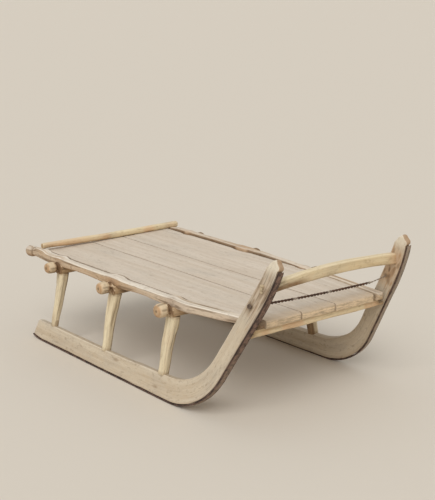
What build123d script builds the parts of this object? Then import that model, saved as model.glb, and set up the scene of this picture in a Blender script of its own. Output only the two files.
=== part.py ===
from build123d import *
import math
import os
from collections import namedtuple

# Alpine horn sled: two canted plank runners whose front ends rise into horns, three
# posts on each runner, three round-ended crossbeams, two side rails and a board deck.
# Millimetres. +X is the front, +Y the sled's left side, +Z up, the soles lie on z = 0.
# Lengths along X are measured from the rear crossbeam and moved by mid_x at the end.

os.makedirs("parts", exist_ok=True)

# Stance of the two sides
sole_half_gauge = 389.0  # middle of a runner at the ground, from the sled's middle
side_lean = 8.8  # degrees that each side leans inward on its way up
rack_shift = 19.0  # how far the old frame has pushed each side along X
rear_bay = 375.0  # rear crossbeam to the middle one
front_bay = 361.0  # middle crossbeam to the front one
fit_gap = 0.2  # clearance round a tenon
end_gap = 2.0  # room left beyond the end of a blind tenon

# Runner plank and horn, heights measured along the leaning plank
runner_thickness = 28.0
runner_top = 84.0  # top edge of the straight stretch
knee_top = 101.0  # top edge where the plank turns up
tail_bottom = 139.0  # heel's end behind the rear crossbeam
heel_radius = 300.0  # sole's rear end curls up off the ground
heel_turn = 15.0  # degrees
tail_top = 109.0  # top edge behind the rear crossbeam
ramp_lead = 28.0  # top edge begins to climb this far past the middle crossbeam
knee_lead = 224.0  # corner of the sole line and the horn line past the front crossbeam
knee_radius = 296.0
knee_back_radius = 270.0
horn_angle = 61.7  # degrees of the horn above the sole
horn_width = 62.5
horn_length = 464.0  # front edge from the knee's corner to the curl
horn_curl = 11.0  # degrees that the front edge steepens near the tip
horn_back_curl = 5.0
curl_back_lead = 28.0  # how much higher the back edge begins to steepen
curl_radius = 900.0
curl_back_radius = 1400.0
tip_front = 20.0  # front edge from the curl to the tip's bevel
tip_back = 9.0  # back edge from the curl to the tip's bevel
tip_bevel = 31.0
tip_bevel_turn = 42.0
tip_crown = 20.0
tip_crown_turn = 85.0
tip_round = 7.0

# Iron shoe, worn level under the leaning sole, ending where the horn's curl ends
shoe_thickness = 6.0

# Crossbeams, hewn between round end knobs
beam_top = 350.0
beam_height = 42.0
beam_width = 54.0
beam_past_post = 24.7  # beam's shoulder outboard of the post's head
beam_chamfer = 9.0
knob_drop = 8.0  # knob's axis below the beam's top
knob_radius = 25.0
knob_length = 43.0
knob_chamfer = 7.0
neck_radius = 19.0
neck_length = 12.0

# Posts, eight-sided and thicker at the top
post_foot = 38.0  # across the flats
post_head = 50.0
post_sides = 8
foot_tenon_radius = 10.0
foot_tenon_length = 36.0
head_tenon_radius = 15.0
head_tenon_length = 24.0
tenon_root = 12.0  # length of a tenon that is buried in its own piece

# Side rails, saddled over each crossbeam and swollen there
rail_width = 40.0
rail_height = 41.0
rail_drop = 9.0  # rail's underside below the crossbeams' tops
rail_end_height = 35.0  # over the front beam
rail_chamfer = 10.0
rail_rear_inset = 21.0  # rail's middle inboard of the rear crossbeam's shoulder
rail_front_inset = 32.0  # the same at the front crossbeam
rail_horn_gap = 14.0  # rail's front end to the horn
rail_lead = 12.0  # rail's front end past the boards
tail_reach = 256.0  # rail's rear end behind the rear crossbeam
tail_cap = 12.0  # length of the tail's tapered end
tail_spread = 8.0  # tail's middle outboard of the rail's middle
tail_width = 43.0
tail_height = 42.0
tail_drop = 14.5  # tail's underside below the crossbeam's top
cap_width = 30.0
cap_height = 30.0
boss_width = 52.0
boss_height = 36.0
boss_inset = 10.0  # boss's middle inboard of the rail's middle
boss_taper = 16.0  # how much each end of a boss draws in towards the deck
boss_chamfer = 3.0
short_boss = 84.0
long_boss = 130.0

# Deck of three boards
board_thickness = 25.0
board_gap = 3.0
deck_rear = 165.0  # behind the rear crossbeam
deck_overhang = 7.0  # past the front beam
seam_right = -95.0
seam_left = 68.0

# Cross pieces between the horns and at the rear
front_beam_height = 34.0
front_beam_depth = 60.0
front_beam_lead = 4.0  # beam's middle ahead of the horn's middle
front_tenon_height = 18.0
front_tenon_depth = 34.0
front_tenon_cover = 4.0  # wood left over the blind tenon
front_notch_width = 22.0  # shoulder cut away beside each horn
front_notch_height = 15.0
bow_clearance = 115.5  # bow's ends above the deck, along the plank
bow_back = 6.0  # behind the horn's middle
bow_depth = 30.0
bow_end_height = 38.0
bow_rise_top = 21.0
bow_rise_bottom = 15.0
bow_chamfer = 7.0
bow_tenon_height = 30.0
bow_tenon_depth = 14.0
bow_tenon_proud = 3.0
tie_drop = 40.0  # below the bow's ends
tie_back = 10.0  # behind the horn's middle
tie_radius = 4.0
tie_sag = 9.0
tie_hole_gap = 2.6
knot_radius = 9.5
knot_length = 8.0
pole_lead = 19.0  # pole's axis ahead of the boards' rear ends
pole_radius = 14.0
pole_right_overhang = -18.0  # past the rail
pole_left_overhang = 10.0
pole_chamfer = 3.0

# name, which side of the middle, place along X, how far the pole stands past the rail
Side = namedtuple("Side", "name sign shift pole_overhang")
sides = (
    Side("right", -1, -rack_shift, pole_right_overhang),
    Side("left", 1, rack_shift, pole_left_overhang),
)

# name, place along X, length of the rails' boss over it
Beam = namedtuple("Beam", "name x boss")
beams = (
    Beam("rear", 0.0, short_boss),
    Beam("middle", rear_bay, long_boss),
    Beam("front", rear_bay + front_bay, short_boss),
)


def radians_of(degrees):
    """Angle in radians."""
    return degrees * math.pi / 180


def step(point, length, degrees):
    """Point reached by going a length at an angle above the sole."""
    turn = radians_of(degrees)
    return (point[0] + length * math.cos(turn), point[1] + length * math.sin(turn))


def bend(point, radius, degrees, turn):
    """Point reached by an arc that sets out at an angle and turns on by another."""
    centre = step(point, radius, degrees + 90)
    return step(centre, radius, degrees + turn - 90)


# Corners of the runner's front edge and of its back edge, in the plank's own plane
lean = radians_of(side_lean)
climb = radians_of(horn_angle)
tip_angle = horn_angle + horn_curl
ramp_start = beams[1].x + ramp_lead
knee = beams[2].x + knee_lead
knee_front = (knee, shoe_thickness)
heel = heel_radius * math.sin(radians_of(heel_turn)) - tail_bottom
curl_front = step(knee_front, horn_length, horn_angle)
curl_end = bend(curl_front, curl_radius, horn_angle, horn_curl)
bevel_front = step(curl_end, tip_front, tip_angle)
crown_front = step(bevel_front, tip_bevel, tip_angle + tip_bevel_turn)
crown_back = step(crown_front, tip_crown, tip_angle + tip_bevel_turn + tip_crown_turn)
knee_shift = (knee_top - shoe_thickness) / math.tan(climb) - horn_width / math.sin(climb)
knee_back = (knee + knee_shift, knee_top)
behind_curl = step(curl_front, horn_width, horn_angle + 90)
curl_back = step(behind_curl, curl_back_lead, horn_angle)
curl_back_end = bend(curl_back, curl_back_radius, horn_angle, horn_back_curl)
bevel_back = step(curl_back_end, tip_back, horn_angle + horn_back_curl)
ramp_slope = math.atan2(knee_top - runner_top, knee_back[0] - ramp_start)

# The leaning sole is worn down until it lies level
shoe_wear = runner_thickness / 2 * math.tan(lean)
shoe_depth = shoe_thickness + shoe_wear
front_reach = curl_end[0] + shoe_depth * math.sin(radians_of(tip_angle)) + rack_shift
mid_x = (front_reach - tail_reach) / 2

half_wall = runner_thickness / 2 / math.cos(lean)
beam_bottom = beam_top - beam_height
beam_half_length = sole_half_gauge - beam_bottom * math.tan(lean) + beam_past_post
deck_top = beam_top + board_thickness


def horn_middle(height):
    """Middle of the horn at a height along the plank."""
    front = knee + (height - shoe_thickness) / math.tan(climb)
    return front - horn_width / 2 / math.sin(climb)


# Places of the pieces between the horns, in the plank's own plane
front_beam_along = (beam_top - front_beam_height / 2) / math.cos(lean)
front_beam_at = (horn_middle(front_beam_along) + front_beam_lead, front_beam_along)
bow_along = deck_top / math.cos(lean) + bow_clearance + bow_end_height / 2
bow_at = (horn_middle(bow_along) - bow_back, bow_along)
tie_along = bow_along - bow_end_height / 2 - tie_drop
tie_at = (horn_middle(tie_along) - tie_back, tie_along)

# Rails: place along X, middle across, width, height, underside, share of the racking
Station = namedtuple("Station", "x across width height under shift")
deck_front = front_beam_at[0] + front_beam_depth / 2 + deck_overhang
rail_rear = beam_half_length - rail_rear_inset
rail_front = beam_half_length - rail_front_inset
horn_inner = sole_half_gauge - (beam_top + rail_end_height) * math.tan(lean) - half_wall
rail_end = horn_inner - rail_horn_gap - rail_width / 2
rail_under = beam_top - rail_drop
thick_end = beams[2].x + beams[2].boss
thin_start = front_beam_at[0] - front_beam_depth
thin_share = (thin_start - thick_end) / (deck_front + rail_lead - thick_end)
thin_across = rail_front + thin_share * (rail_end - rail_front)
tail_across = rail_rear + tail_spread
tail_under = beam_top - tail_drop
cap_under = tail_under + (tail_height - cap_height) / 2
rail_stations = (
    Station(-tail_reach, tail_across, cap_width, cap_height, cap_under, 0.0),
    Station(tail_cap - tail_reach, tail_across, tail_width, tail_height, tail_under, 0.0),
    Station(-beams[0].boss, rail_rear, rail_width, rail_height, rail_under, 0.0),
    Station(thick_end, rail_front, rail_width, rail_height, rail_under, 0.0),
    Station(thin_start, thin_across, rail_width, rail_end_height, beam_top, thin_share),
    Station(deck_front + rail_lead, rail_end, rail_width, rail_end_height, beam_top, 1.0),
)


def side_plane(side):
    """Middle plane of a side: local x runs forward, local y up the leaning plank."""
    return Plane(
        origin=(side.shift - mid_x, side.sign * sole_half_gauge, 0),
        x_dir=(1, 0, 0),
        z_dir=(0, -math.cos(lean), -side.sign * math.sin(lean)),
    )


def inner_face(side):
    """Face of a runner that looks at the other runner."""
    return side_plane(side).offset(side.sign * runner_thickness / 2)


def inboard(side):
    """Half of space that lies inboard of inner_face."""
    return Keep.TOP if side.sign > 0 else Keep.BOTTOM


def runner_top_at(x):
    """Height of the runner's top edge before the knee, along the plank."""
    return runner_top + max(0.0, x - ramp_start) * math.tan(ramp_slope)


def station_x(side, row):
    """Place of one of the rail's stations on one side of the racked frame."""
    return row.x + row.shift * side.shift


def rail_row(side, x, column):
    """Value of one column of a rail's stations, read along X."""
    for low, high in zip(rail_stations, rail_stations[1:]):
        if x <= station_x(side, high):
            break
    share = (x - station_x(side, low)) / (station_x(side, high) - station_x(side, low))
    return getattr(low, column) + share * (getattr(high, column) - getattr(low, column))


def rail_top(side, x):
    """Height of a rail's top at a place along X."""
    return rail_row(side, x, "under") + rail_row(side, x, "height")


def boss_outline(side, beam):
    """Corners of a boss in plan: long beside the rail, drawn in towards the deck."""
    middle = rail_row(side, beam.x, "across") - boss_inset
    outer = side.sign * (middle + boss_width / 2)
    inner = side.sign * (middle - boss_width / 2)
    x = beam.x - mid_x
    return [
        (x - beam.boss / 2, outer),
        (x + beam.boss / 2, outer),
        (x + beam.boss / 2 - boss_taper, inner),
        (x - beam.boss / 2 + boss_taper, inner),
    ]


def post_plane(side, beam):
    """Post's axis: origin at the middle of its foot, local z towards its head."""
    plane = side_plane(side)
    foot = plane.from_local_coords((beam.x, runner_top_at(beam.x), 0))
    head = plane.from_local_coords((beam.x - side.shift, beam_bottom / math.cos(lean), 0))
    return Plane(origin=foot, x_dir=plane.z_dir, z_dir=head - foot), (head - foot).length


def cross_ends(x, height):
    """Middle of both horns at one place of the plank, right side first."""
    return [side_plane(side).from_local_coords((x, height, 0)) for side in sides]


def cross_plane(x, height):
    """Plane across a piece between the horns: local x up, local y forward."""
    right, left = cross_ends(x, height)
    return Plane(origin=(right + left) / 2, x_dir=(0, 0, 1), z_dir=left - right)


def cross_face(x, height):
    """Upright plane along a piece between the horns: local x to the left, local y up."""
    right, left = cross_ends(x, height)
    across = left - right
    return Plane(origin=(right + left) / 2, x_dir=across, z_dir=across.cross(Vector(0, 0, 1)))


def cross_span(x, height):
    """Distance between the middles of both horns."""
    right, left = cross_ends(x, height)
    return (left - right).length


def save(builder, label):
    """Name a finished piece and write it."""
    builder.part.label = label
    export_step(builder.part, f"parts/{label}.step")


# Runners: one plank each, sawn to the horn's curve
for side in sides:
    with BuildPart() as runner:
        with BuildSketch(side_plane(side)) as plank:
            with BuildLine():
                sole = FilletPolyline(
                    (heel, shoe_thickness), knee_front, curl_front, radius=knee_radius
                )
                heel_curl = JernArc(sole @ 0, (-1, 0), heel_radius, -heel_turn)
                JernArc(sole @ 1, sole % 1, curl_radius, horn_curl)
                back = FilletPolyline(
                    (ramp_start, runner_top), knee_back, curl_back, radius=knee_back_radius
                )
                JernArc(back @ 1, back % 1, curl_back_radius, horn_back_curl)
                Polyline(curl_end, bevel_front, crown_front, crown_back, bevel_back, curl_back_end)
                Polyline(back @ 0, (-tail_top, runner_top), heel_curl @ 1)
            make_face()
            tip = plank.vertices().sort_by(Axis.Y)[-3:]
            fillet(tip, tip_round)
        extrude(amount=runner_thickness / 2, both=True)
        for beam in beams:
            socket, height = post_plane(side, beam)
            with BuildSketch(socket.offset(tenon_root)):
                Circle(foot_tenon_radius + fit_gap)
            extrude(amount=-tenon_root - foot_tenon_length - end_gap, mode=Mode.SUBTRACT)
        with BuildSketch(cross_plane(*front_beam_at)):
            Rectangle(front_tenon_height + 2 * fit_gap, front_tenon_depth + 2 * fit_gap)
        front_mortise = cross_span(*front_beam_at) / 2 + half_wall - front_tenon_cover + end_gap
        extrude(amount=front_mortise, both=True, mode=Mode.SUBTRACT)
        with BuildSketch(cross_plane(*bow_at)):
            Rectangle(bow_tenon_height + 2 * fit_gap, bow_tenon_depth + 2 * fit_gap)
        extrude(amount=cross_span(*bow_at), both=True, mode=Mode.SUBTRACT)
        with BuildSketch(cross_plane(*tie_at)):
            Circle(tie_radius + tie_hole_gap)
        extrude(amount=cross_span(*tie_at), both=True, mode=Mode.SUBTRACT)
    save(runner, f"runner_{side.name}")

# Iron shoes: a strap under the sole, round the knee and up the horn
for side in sides:
    with BuildPart() as shoe:
        with BuildSketch(side_plane(side)):
            with BuildLine():
                wood = FilletPolyline(
                    (heel, shoe_thickness), knee_front, curl_front, radius=knee_radius
                )
                wood_heel = JernArc(wood @ 0, (-1, 0), heel_radius, -heel_turn)
                wood_curl = JernArc(wood @ 1, wood % 1, curl_radius, horn_curl)
                worn = FilletPolyline(
                    (heel, -shoe_wear),
                    (knee + shoe_depth * math.tan(climb / 2), -shoe_wear),
                    step(curl_front, shoe_depth, horn_angle - 90),
                    radius=knee_radius + shoe_depth,
                )
                worn_curl = JernArc(worn @ 1, worn % 1, curl_radius + shoe_depth, horn_curl)
                worn_heel = JernArc(worn @ 0, (-1, 0), heel_radius + shoe_depth, -heel_turn)
                Line(wood_heel @ 1, worn_heel @ 1)
                Line(wood_curl @ 1, worn_curl @ 1)
            make_face()
        extrude(amount=runner_thickness / 2, both=True)
        split(bisect_by=Plane.XY, keep=Keep.TOP)
    save(shoe, f"runner_shoe_{side.name}")

# Posts: eight-sided, tenoned into the runner below and the crossbeam above
for side in sides:
    for beam in beams:
        axis, height = post_plane(side, beam)
        slope = ramp_slope if beam.x > ramp_start else 0.0
        seat = side_plane(side).from_local_coords((-math.sin(slope), math.cos(slope), 0))
        seat_up = seat - side_plane(side).origin
        taper = (post_head - post_foot) / height
        with BuildPart() as post:
            for reach in (-tenon_root, height + tenon_root):
                with BuildSketch(axis.offset(reach)):
                    across = post_foot + taper * reach
                    RegularPolygon(across / 2, post_sides, major_radius=False, rotation=180 / post_sides)
            loft()
            split(bisect_by=Plane(origin=axis.origin, z_dir=seat_up), keep=Keep.TOP)
            split(bisect_by=Plane.XY.offset(beam_bottom), keep=Keep.BOTTOM)
            with BuildSketch(axis.offset(tenon_root)):
                Circle(foot_tenon_radius)
            extrude(amount=-tenon_root - foot_tenon_length)
            with BuildSketch(axis.offset(height - tenon_root)):
                Circle(head_tenon_radius)
            extrude(amount=tenon_root + head_tenon_length)
        save(post, f"post_{beam.name}_{side.name}")

# Crossbeams: hewn flat on top for deck and rails, with a round knob past each rail
for beam in beams:
    with BuildPart() as crossbeam:
        with BuildSketch(Plane.XZ) as section:
            with Locations((beam.x - mid_x, beam_top - beam_height / 2)):
                Rectangle(beam_width, beam_height)
            chamfer(section.vertices(), beam_chamfer)
        extrude(amount=beam_half_length, both=True)
        for side in sides:
            out = -side.sign
            with BuildSketch(Plane.XZ.offset(out * (beam_half_length - neck_length))):
                with Locations((beam.x - mid_x, beam_top - knob_drop)):
                    Circle(neck_radius)
            extrude(amount=out * 2 * neck_length)
            with BuildSketch(Plane.XZ.offset(out * (beam_half_length + neck_length))):
                with Locations((beam.x - mid_x, beam_top - knob_drop)):
                    Circle(knob_radius)
            extrude(amount=out * knob_length)
        along = crossbeam.faces().sort_by(Axis.Y)
        chamfer(along[0].edges() + along[-1].edges(), knob_chamfer)
        with BuildSketch(Plane.XY.offset(beam_top)):
            with Locations((beam.x - mid_x, 0)):
                Rectangle(2 * beam_width, 2 * beam_half_length)
        extrude(amount=beam_height, mode=Mode.SUBTRACT)
        for side in sides:
            axis, height = post_plane(side, beam)
            with BuildSketch(axis.offset(height - tenon_root)):
                Circle(head_tenon_radius + fit_gap)
            extrude(amount=tenon_root + head_tenon_length + end_gap, mode=Mode.SUBTRACT)
    save(crossbeam, f"crossbeam_{beam.name}")

# Side rails: shaved poles saddled on the crossbeams, swollen at each joint and at the tail
for side in sides:
    with BuildPart() as rail:
        for row in rail_stations:
            section = Plane(
                origin=(
                    station_x(side, row) - mid_x,
                    side.sign * row.across,
                    row.under + row.height / 2,
                ),
                x_dir=(0, 1, 0),
                z_dir=(1, 0, 0),
            )
            with BuildSketch(section) as shaved:
                Rectangle(row.width, row.height)
                chamfer(shaved.vertices(), rail_chamfer)
        loft(ruled=True)
        for beam in beams:
            with BuildSketch(Plane.XZ) as saddle:
                with Locations((beam.x - mid_x, beam_top - beam_height / 2)):
                    Rectangle(beam_width + 2 * fit_gap, beam_height)
                chamfer(saddle.vertices(), beam_chamfer)
            extrude(amount=beam_half_length, both=True, mode=Mode.SUBTRACT)
            with BuildSketch(Plane.XY.offset(beam_top)):
                Polygon(*boss_outline(side, beam), align=None)
            extrude(amount=boss_height)
        boss_tops = rail.faces().filter_by(Plane.XY).group_by(Axis.Z)[-1]
        chamfer(boss_tops.edges(), boss_chamfer)
    save(rail, f"side_rail_{side.name}")

# Deck boards: the outer two follow the rails and are notched round their bosses
rack = 2 * rack_shift / cross_span(*front_beam_at)
deck_bends = (-deck_rear, rail_stations[2].x, rail_stations[3].x)


def edge_inside_rail(side):
    """Corners of the deck's edge along one rail, from the rear to the front."""
    front_lead = rack * side.sign * rail_row(side, deck_front + side.shift, "across")
    corners = []
    for x in (*deck_bends, deck_front + front_lead):
        across = rail_row(side, x, "across") - rail_row(side, x, "width") / 2 - 2 * fit_gap
        corners.append((x - mid_x, side.sign * across))
    return corners


def edge_at_seam(y):
    """Corners of a straight board edge, from the rear to the front."""
    return [(-deck_rear - mid_x, y), (deck_front + rack * y - mid_x, y)]


half_gap = board_gap / 2
deck = {
    "right": (edge_inside_rail(sides[0]), edge_at_seam(seam_right - half_gap)),
    "middle": (edge_at_seam(seam_right + half_gap), edge_at_seam(seam_left - half_gap)),
    "left": (edge_at_seam(seam_left + half_gap), edge_inside_rail(sides[1])),
}
for name, (one_edge, other_edge) in deck.items():
    with BuildPart() as board:
        with BuildSketch(Plane.XY.offset(beam_top)):
            Polygon(*one_edge, *reversed(other_edge), align=None)
        extrude(amount=board_thickness)
        for side in sides:
            for beam in beams:
                with BuildSketch(Plane.XY.offset(beam_top)):
                    Polygon(*boss_outline(side, beam), align=None)
                    offset(amount=2 * fit_gap, kind=Kind.INTERSECTION)
                extrude(amount=board_thickness, mode=Mode.SUBTRACT)
    save(board, f"deck_board_{name}")

# Front beam: under the board ends, shouldered beside the horns, blind tenons in both
with BuildPart() as front_beam:
    span = cross_span(*front_beam_at)
    with BuildSketch(cross_plane(*front_beam_at)):
        Rectangle(front_beam_height, front_beam_depth)
    extrude(amount=span / 2, both=True)
    with BuildSketch(cross_face(*front_beam_at)):
        notch_length = front_notch_width + half_wall
        notch_middle = (front_beam_height - front_notch_height) / 2
        for side in sides:
            with Locations((side.sign * (span - notch_length) / 2, notch_middle)):
                Rectangle(notch_length, front_notch_height)
    extrude(amount=front_beam_depth, both=True, mode=Mode.SUBTRACT)
    for side in sides:
        split(bisect_by=inner_face(side), keep=inboard(side))
    with BuildSketch(cross_plane(*front_beam_at)):
        Rectangle(front_tenon_height, front_tenon_depth)
    extrude(amount=span / 2 + half_wall - front_tenon_cover, both=True)
save(front_beam, "front_beam")

# Bow: arched bar between the horns, with through tenons
with BuildPart() as bow:
    span = cross_span(*bow_at)
    shoulder = bow_end_height / 2
    with BuildSketch(cross_face(*bow_at)):
        with BuildLine():
            top = ThreePointArc(
                (-span / 2, shoulder), (0, shoulder + bow_rise_top), (span / 2, shoulder)
            )
            under = ThreePointArc(
                (-span / 2, -shoulder), (0, bow_rise_bottom - shoulder), (span / 2, -shoulder)
            )
            Line(top @ 0, under @ 0)
            Line(top @ 1, under @ 1)
        make_face()
    extrude(amount=bow_depth / 2, both=True)
    chamfer(bow.edges().filter_by(GeomType.CIRCLE), bow_chamfer)
    for side in sides:
        split(bisect_by=inner_face(side), keep=inboard(side))
    with BuildSketch(cross_plane(*bow_at)):
        Rectangle(bow_tenon_height, bow_tenon_depth)
    extrude(amount=span / 2 + half_wall + bow_tenon_proud, both=True)
save(bow, "bow")

# Tie: a nearly taut wire through both horns, wound into a knot outside each
with BuildPart() as tie:
    reach = cross_span(*tie_at) / 2 + half_wall
    with BuildLine(cross_face(*tie_at)) as route:
        ThreePointArc((-reach, 0), (0, -tie_sag), (reach, 0))
    with BuildSketch(Plane(origin=route.line @ 0, z_dir=route.line % 0)):
        Circle(tie_radius)
    sweep(path=route.line)
    for side, end in zip(sides, (route.line @ 0, route.line @ 1)):
        outer = side_plane(side).offset(-side.sign * runner_thickness / 2)
        flat = outer.to_local_coords(end)
        with BuildSketch(outer):
            with Locations((flat.X, flat.Y)):
                Circle(knot_radius)
        extrude(amount=-side.sign * knot_length)
save(tie, "tie_wire")

# Rear pole: laid across both rails over the boards' rear ends
pole_x = pole_lead - deck_rear
pole_ends = []
for side in sides:
    past = rail_row(side, pole_x, "across") + rail_row(side, pole_x, "width") / 2
    pole_ends.append(past + side.pole_overhang)
pole_seat = max(rail_top(sides[0], pole_x - pole_radius), rail_top(sides[0], pole_x + pole_radius))
with BuildPart() as pole:
    with BuildSketch(Plane.XZ.offset(pole_ends[0])):
        with Locations((pole_x - mid_x, pole_seat + pole_radius + fit_gap)):
            Circle(pole_radius)
    extrude(amount=-pole_ends[0] - pole_ends[1])
    chamfer(pole.edges().filter_by(GeomType.CIRCLE), pole_chamfer)
save(pole, "rear_pole")
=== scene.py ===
import functools
import math
from collections import namedtuple

import bpy
import numpy as np
from mathutils import Matrix, Vector


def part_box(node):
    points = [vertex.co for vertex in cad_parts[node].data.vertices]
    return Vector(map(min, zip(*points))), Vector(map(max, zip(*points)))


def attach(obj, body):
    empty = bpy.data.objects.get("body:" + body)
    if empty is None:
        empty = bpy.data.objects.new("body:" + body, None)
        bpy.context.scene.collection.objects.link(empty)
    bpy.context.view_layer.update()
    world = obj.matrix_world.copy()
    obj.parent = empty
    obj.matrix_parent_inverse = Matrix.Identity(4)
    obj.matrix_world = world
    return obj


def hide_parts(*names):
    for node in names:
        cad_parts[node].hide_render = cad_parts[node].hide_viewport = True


# Alpine horn sled. Metres, +X the front, +Y the sled's left side, +Z up, soles on z = 0.
# Lengths along the sled are measured from the rear crossbeam, which stands at REAR_X.
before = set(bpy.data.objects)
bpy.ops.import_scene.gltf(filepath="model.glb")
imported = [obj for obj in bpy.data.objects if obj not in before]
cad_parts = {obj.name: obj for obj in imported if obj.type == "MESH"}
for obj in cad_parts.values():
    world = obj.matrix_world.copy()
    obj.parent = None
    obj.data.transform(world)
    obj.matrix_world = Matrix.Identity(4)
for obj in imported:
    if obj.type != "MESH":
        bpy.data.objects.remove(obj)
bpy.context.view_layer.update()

# Stance of the two leaning, racked sides
SOLE_HALF_GAUGE = 0.389
SIDE_LEAN = math.radians(8.8)
RACK_SHIFT = 0.019
REAR_BAY = 0.375
FRONT_BAY = 0.361
SHARP_ANGLE = math.radians(48)
SINK = 0.004  # how far an end runs into the piece that it meets
ROUNDEST = 0.97  # largest corner of a section, as a share of its half width

# Runner plank and horn, heights measured up the leaning plank
PLANK_THICKNESS = 0.028
PLANK_EDGE = 0.0045
PLANK_EDGE_WAVER = 0.0025
PLANK_END_DRAW = 0.004
PLANK_END_RUN = 0.008
RUNNER_TOP = 0.084
KNEE_TOP = 0.101
TAIL_BOTTOM = 0.139
HEEL_RADIUS = 0.300
HEEL_TURN = math.radians(15.0)
TAIL_TOP = 0.109
RAMP_LEAD = 0.028
KNEE_LEAD = 0.224
KNEE_RADIUS = 0.296
KNEE_BACK_RADIUS = 0.270
HORN_ANGLE = math.radians(61.7)
HORN_WIDTH = 0.0625
HORN_LENGTH = 0.464
HORN_CURL = math.radians(11.0)
HORN_BACK_CURL = math.radians(5.0)
CURL_BACK_LEAD = 0.028
CURL_RADIUS = 0.900
CURL_BACK_RADIUS = 1.400
TIP_FRONT = 0.020
TIP_BACK = 0.009
TIP_BEVEL = 0.031
TIP_BEVEL_TURN = math.radians(42.0)
TIP_CROWN = 0.020
TIP_CROWN_TURN = math.radians(85.0)
TIP_ROUND = 0.008
TIP_SWELL = 0.004  # horn stands proud over the iron's upper end
SHOE_THICKNESS = 0.006
SHOE_LAP = 0.0020  # how far the wood reaches down in the iron's place
SHOE_PAST = 0.010  # iron above the end of the horn's curl
SHOE_INSET = 0.0003
SHOE_EDGE = 0.0016
SHOE_THIN = 0.0014  # taken from the iron's half thickness at its upper end
SHOE_END_DRAW = 0.0010
SHOE_END_RUN = 0.006
SCOURED = 1.3  # brightness of the left iron's face

# Posts
POST_FLARE = 1.3
POST_SPARE = 0.001
POST_FLATNESS = 0.94
POST_ROUNDNESS = 0.70
POST_SWAY = 0.007

# Crossbeams with their round ends, and the rails with their swellings
BEAM_HEIGHT = 0.042
BEAM_WIDTH = 0.054
BEAM_PAST_POST = 0.0247
BEAM_EDGE = 0.010
KNOB_DROP = 0.008
KNOB_RADIUS = 0.025
KNOB_LENGTH = 0.043
KNOB_ROUND = 0.015
KNOB_LIFT = 0.045  # times a left knob's extra fullness
NECK_RADIUS = 0.019
RAIL_WIDTH = 0.040
RAIL_HEIGHT = 0.041
RAIL_DROP = 0.009
RAIL_END_HEIGHT = 0.035
RAIL_ROUND = 0.010
RAIL_TAIL_ROUND = 0.010  # added to it at the tail
RAIL_FRONT_SQUARE = 0.004  # taken from it at the front
RAIL_END_ROUND = 0.010
RAIL_REAR_INSET = 0.021
RAIL_FRONT_INSET = 0.032
RAIL_HORN_GAP = 0.014
RAIL_LEAD = 0.012
RAIL_GAP = 0.0030
RAIL_HOLLOW = 0.007  # underside cut away between two crossbeams
TAIL_REACH = 0.256
TAIL_CAP = 0.012
TAIL_SPREAD = 0.008
TAIL_WIDTH = 0.043
TAIL_HEIGHT = 0.042
TAIL_DROP = 0.0145
TAIL_BULB = 0.006
TAIL_LIFT = 0.004
CAP_SIZE = 0.036
BOSS_SIDE = 0.010
BOSS_RISE = 0.003
BOSS_TAPER = 0.050

# Deck and the pieces between the horns
BOARD_GAP = 0.003
BOARD_EDGE = 0.0028
BOARD_END_ROUND = 0.009
BOARD_LIP = 0.008  # board's end hangs down in front of the beam
SEAM_RIGHT = -0.095
SEAM_LEFT = 0.068
SEAM_WAVER = 0.0012
SEAM_WAVE = 0.16
DECK_REAR = 0.165
DECK_OVERHANG = 0.007
FRONT_BEAM_HEIGHT = 0.034
FRONT_BEAM_DEPTH = 0.060
FRONT_BEAM_EDGE = 0.008
FRONT_BEAM_LEAD = 0.004
FRONT_NOTCH_WIDTH = 0.022
FRONT_NOTCH_HEIGHT = 0.015
BOW_CLEARANCE = 0.1155
BOW_BACK = 0.006
BOW_DEPTH = 0.030
BOW_END_HEIGHT = 0.038
BOW_LEFT_HEIGHT = 0.006  # added towards the left end
BOW_RISE_TOP = 0.021
BOW_RISE_BOTTOM = 0.015
BOW_EDGE = 0.009
BOW_TENON_HEIGHT = 0.030
BOW_TENON_DEPTH = 0.014
BOW_TENON_PROUD = 0.003
BOW_TILT = 0.006
TIE_DROP = 0.048
TIE_BACK = 0.010
TIE_SAG = 0.0135
TIE_WOUND = 0.70  # share of the left half that is wound thick
TIE_STRAND = 0.0024
TIE_PITCH = 0.030
TIE_BRIGHT_BITS = np.array([-0.41, 0.06, 0.66])
TIE_BIT_WIDTH = 0.028
COIL_TURNS = 2.6
COIL_START = 0.0020
COIL_SPREAD = 0.0045
COIL_RISE = 0.0036

# Rear pole, lying on the right rail's seat and sunk into the left rail
POLE_FULL = 0.0018
POLE_END_ROUND = 0.003
POLE_THIN = 0.0006
POLE_TAPER = 0.0022
POLE_BED = 0.001
POLE_SINK = 0.0085
POLE_LEAD = 0.004
POLE_SEAT = 0.0080

# Hollows that the tools left: depth, length along the grain, width across it
Mark = namedtuple("Mark", "depth length width")
RUNNER_MARKS = (Mark(0.0026, 0.14, 0.06), Mark(0.0009, 0.09, 0.009))
SHOE_MARKS = (Mark(0.0012, 0.06, 0.03),)
POST_MARKS = (Mark(0.0050, 0.11, 0.020), Mark(0.0026, 0.20, 0.008))
BEAM_MARKS = (Mark(0.0044, 0.11, 0.024), Mark(0.0014, 0.05, 0.008))
RAIL_MARKS = (Mark(0.0046, 0.13, 0.030), Mark(0.0020, 0.10, 0.008))
BOARD_MARKS = (Mark(0.0018, 0.30, 0.07), Mark(0.0006, 0.20, 0.008))
FRONT_BEAM_MARKS = (Mark(0.0046, 0.12, 0.022), Mark(0.0016, 0.07, 0.007))
BOW_MARKS = (Mark(0.0036, 0.13, 0.024), Mark(0.0012, 0.07, 0.007))
POLE_MARKS = (Mark(0.0034, 0.10, 0.030), Mark(0.0010, 0.05, 0.008))
CHIP_LENGTH = 0.035
CHIP_WIDTH = 0.014

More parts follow.
